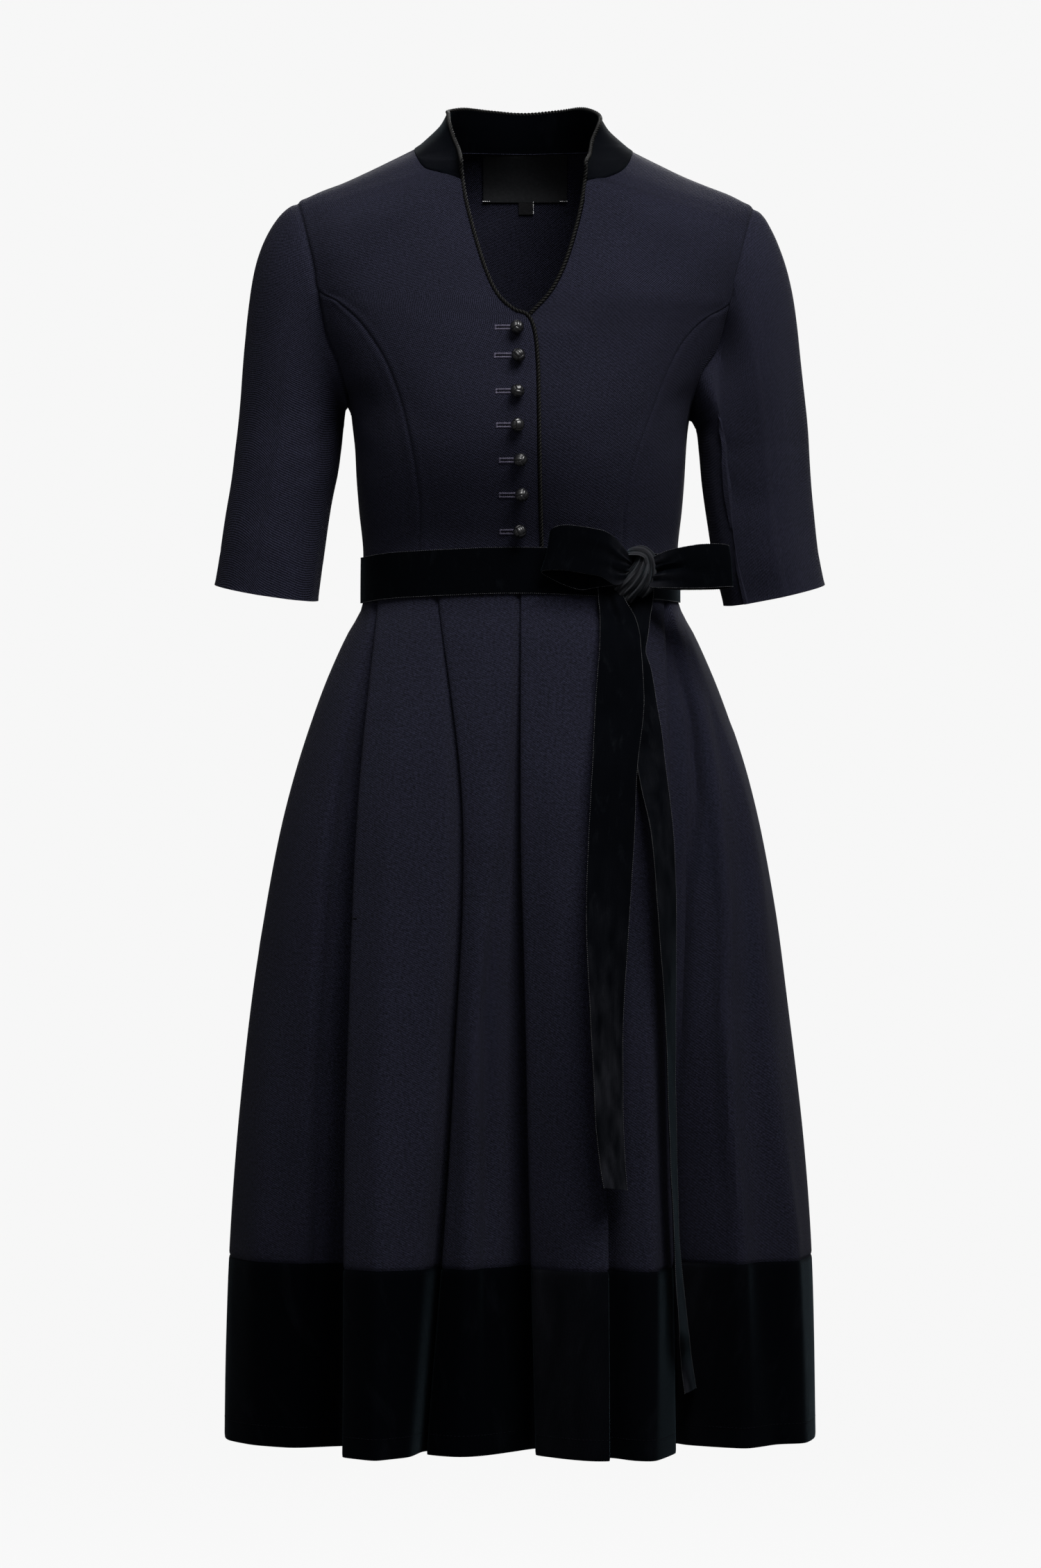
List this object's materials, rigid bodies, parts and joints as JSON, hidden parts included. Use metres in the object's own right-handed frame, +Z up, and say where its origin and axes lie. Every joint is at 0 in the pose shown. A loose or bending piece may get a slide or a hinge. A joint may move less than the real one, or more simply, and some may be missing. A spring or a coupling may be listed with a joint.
{
  "type": "dirndl dress",
  "caption": "Midi dirndl with half sleeves, stand collar, heart neckline, ball buttons, velvet ribbon belt with a bow, pleated skirt and velvet hem band, filled out as worn",
  "frame": {"origin": "middle of the neck base, where the dress hangs from its wearer's shoulders; the collar stands above it and all else hangs below", "axes": "+Z up, front of the dress towards -Y, wearer's left towards +X"},
  "size_m": [0.4905, 0.4356, 1.0741],
  "materials": {
    "twill": "dull diagonal twill",
    "velvet": "short pile with a soft grazing sheen",
    "cord": "twisted two-ply cord",
    "thread": "knotted silk cord",
    "label": "plain woven tape, bare"
  },
  "bodies": {
    "root": {"back": "twill", "bow_knot": "velvet", "bow_loop_inner": "velvet", "bow_loop_outer": "velvet", "button_1": "thread", "button_2": "thread", "button_3": "thread", "button_4": "thread", "button_5": "thread", "button_6": "thread", "button_7": "thread", "collar": "velvet", "edge_piping": "cord", "front_left": "twill", "front_right": "twill", "hem_band_back": "velvet", "hem_band_front": "velvet", "neck_label": "label", "ribbon_end_back": "velvet", "ribbon_end_front": "velvet", "side_front_left": "twill", "side_front_right": "twill", "size_tab": "label", "skirt_back": "twill", "skirt_front": "twill", "sleeve_left": "twill", "sleeve_right": "twill", "waist_ribbon": "velvet"}
  },
  "joints": []
}
